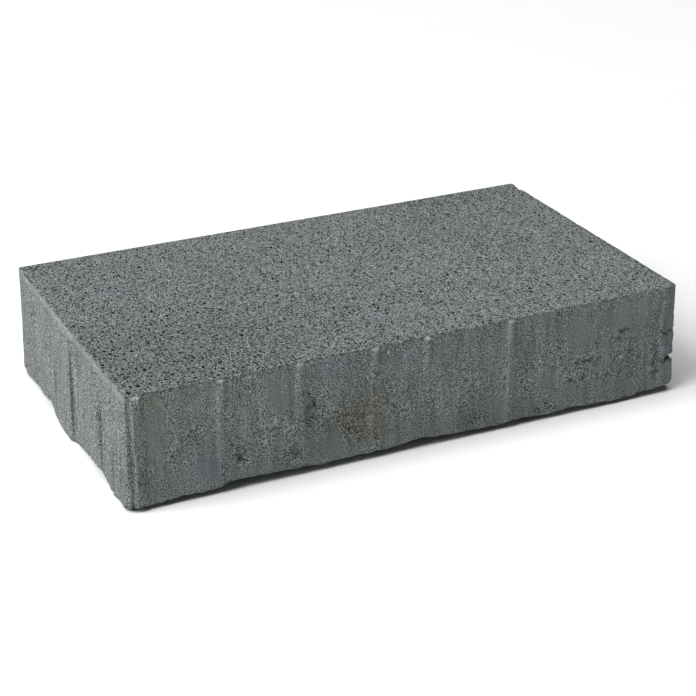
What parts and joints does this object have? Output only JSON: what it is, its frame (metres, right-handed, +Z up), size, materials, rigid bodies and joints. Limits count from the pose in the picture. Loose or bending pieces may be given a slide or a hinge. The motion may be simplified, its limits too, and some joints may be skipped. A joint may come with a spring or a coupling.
{
  "type": "concrete paving stone",
  "caption": "Rectangular cast concrete paving stone with a flat porous walking face, spacer ribs down its sides and a ragged lower edge.",
  "frame": {"origin": "middle of the underside of the stone", "axes": "+X along the long side, +Y across the stone, +Z up out of the walking face"},
  "size_m": [0.3576, 0.2074, 0.07],
  "materials": {
    "concrete": "matte"
  },
  "bodies": {
    "root": {"paving_stone": "concrete"}
  },
  "joints": []
}
